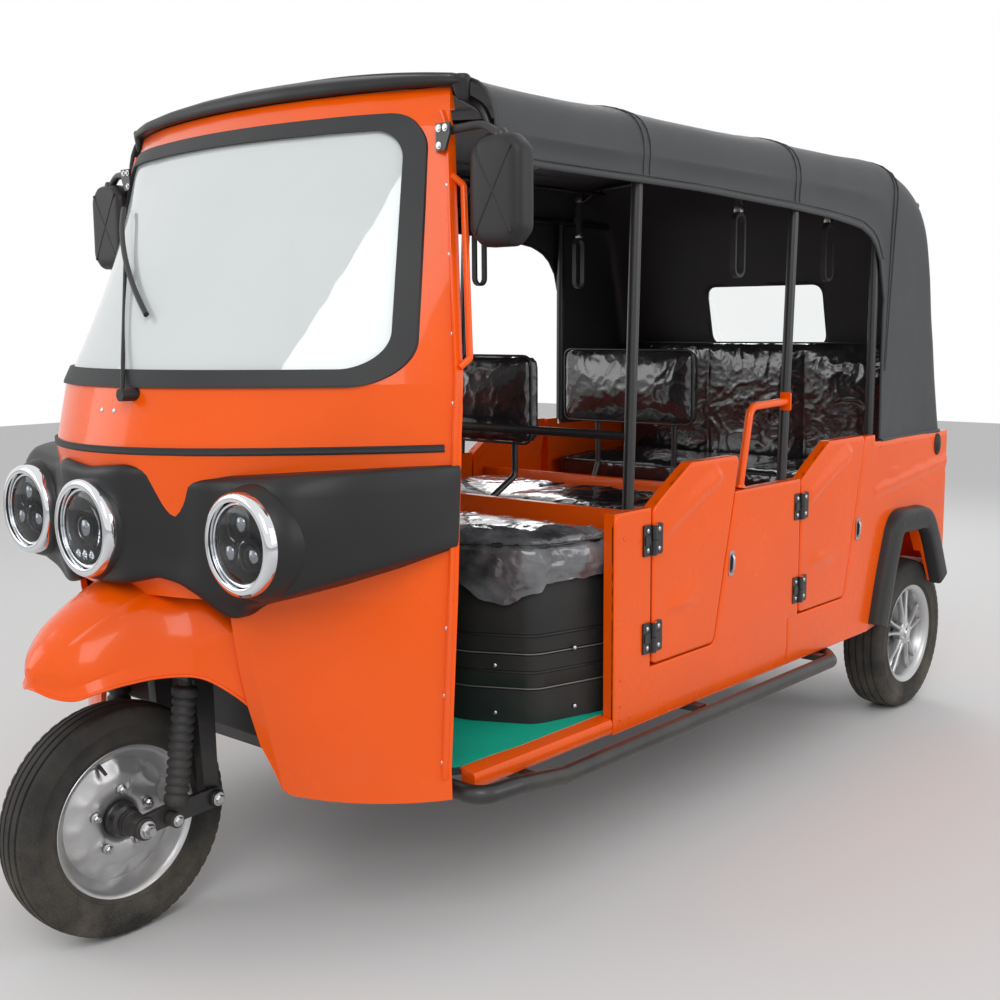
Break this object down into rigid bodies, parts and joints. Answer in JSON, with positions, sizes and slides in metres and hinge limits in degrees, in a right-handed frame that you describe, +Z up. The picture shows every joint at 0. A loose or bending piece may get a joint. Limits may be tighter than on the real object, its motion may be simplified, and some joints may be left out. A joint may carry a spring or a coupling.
{
  "type": "auto rickshaw",
  "caption": "Three-wheeled passenger vehicle with a driver's seat, benches behind it, half doors and a canvas roof.",
  "frame": {"origin": "on the ground under the middle of the vehicle", "axes": "+Y towards the tail, +X to the vehicle's left, +Z up"},
  "size_m": [1.516, 3.2138, 1.8679],
  "materials": {
    "orange_paint": "gloss orange enamel",
    "black_paint": "satin black",
    "black_plastic": "satin black moulding",
    "ribbed_plastic": "dark grey moulding",
    "glass": "clear",
    "lamp_glass": "clear",
    "clear_vinyl": "clear soft vinyl",
    "rubber": "matte",
    "tyre": "matte",
    "chrome": "polished",
    "bright_steel": "zinc plated",
    "silver_rim": "silver",
    "spring_steel": "black",
    "cast_metal": "cast",
    "vinyl": "black leathercloth",
    "canvas": "coated canvas",
    "strap": "woven",
    "mat": "green mat",
    "red_lens": "gloss"
  },
  "bodies": {
    "body": {"chassis_rails": "black_paint", "cross_members": "black_paint", "outriggers": "black_paint", "steering_head": "black_paint", "floor_pan": "black_paint", "floor_mat": "mat", "front_cowl": "orange_paint", "windscreen": "glass", "windscreen_seal": "rubber", "lamp_panel": "black_plastic", "headlamp_rings": "chrome", "headlamps": "lamp_glass", "front_mudguard": "orange_paint", "roof_visor": "canvas", "dashboard": "black_plastic", "driver_seat_box": "ribbed_plastic", "driver_seat_cushion": "vinyl", "row_backrests": "vinyl", "driver_partition": "orange_paint", "middle_bench_base": "orange_paint", "middle_seat_cushion": "vinyl", "backrest_frames": "orange_paint", "rear_bench_base": "orange_paint", "rear_seat_cushion": "vinyl", "rear_backrest": "vinyl", "side_panels": "orange_paint", "rear_quarters": "orange_paint", "rear_panel": "orange_paint", "wheel_arch_flares": "black_plastic", "door_hinges": "black_paint", "canopy": "canvas", "canopy_frame": "black_paint", "canopy_bows": "black_paint", "rear_window": "clear_vinyl", "hand_straps": "strap", "grab_rails": "orange_paint", "side_steps": "black_paint", "mirrors": "black_plastic", "wiper": "black_plastic", "rear_axle": "black_paint", "leaf_springs": "spring_steel", "engine": "cast_metal", "drive_shaft": "black_paint", "tail_lamps": "red_lens", "rear_bumper": "black_paint"},
    "steering": {"steering_fork": "black_paint", "front_link_arms": "black_paint", "front_shock_absorbers": "rubber", "front_axle": "bright_steel", "handlebar": "bright_steel"},
    "front_wheel": {"front_tyre": "tyre", "front_rim": "silver_rim"},
    "rear_left_wheel": {"rear_left_tyre": "tyre", "rear_left_rim": "silver_rim"},
    "rear_right_wheel": {"rear_right_tyre": "tyre", "rear_right_rim": "silver_rim"},
    "front_left_door_body": {"front_left_door": "orange_paint"},
    "front_right_door_body": {"front_right_door": "orange_paint"},
    "rear_left_door_body": {"rear_left_door": "orange_paint"},
    "rear_right_door_body": {"rear_right_door": "orange_paint"}
  },
  "joints": [
    {"name": "steering_turn", "type": "hinge", "parent": "body", "child": "steering", "pos_m": [0, -1.18, 0.59], "axis": [0, 0.3714, 0.9285], "range_deg": [-35, 35]},
    {"name": "front_wheel_spin", "type": "hinge", "parent": "steering", "child": "front_wheel", "pos_m": [0, -1.35, 0.257], "axis": [1, 0, 0], "continuous": true},
    {"name": "rear_left_wheel_spin", "type": "hinge", "parent": "body", "child": "rear_left_wheel", "pos_m": [0.566, 1.35, 0.257], "axis": [1, 0, 0], "continuous": true},
    {"name": "rear_right_wheel_spin", "type": "hinge", "parent": "body", "child": "rear_right_wheel", "pos_m": [-0.566, 1.35, 0.257], "axis": [1, 0, 0], "continuous": true},
    {"name": "front_left_door_swing", "type": "hinge", "parent": "body", "child": "front_left_door_body", "pos_m": [0.658, -0.25, 0.72], "axis": [0, 0, -1], "range_deg": [0, 90]},
    {"name": "front_right_door_swing", "type": "hinge", "parent": "body", "child": "front_right_door_body", "pos_m": [-0.658, -0.25, 0.72], "axis": [0, 0, 1], "range_deg": [0, 90]},
    {"name": "rear_left_door_swing", "type": "hinge", "parent": "body", "child": "rear_left_door_body", "pos_m": [0.658, 0.5, 0.72], "axis": [0, 0, -1], "range_deg": [0, 90]},
    {"name": "rear_right_door_swing", "type": "hinge", "parent": "body", "child": "rear_right_door_body", "pos_m": [-0.658, 0.5, 0.72], "axis": [0, 0, 1], "range_deg": [0, 90]}
  ]
}
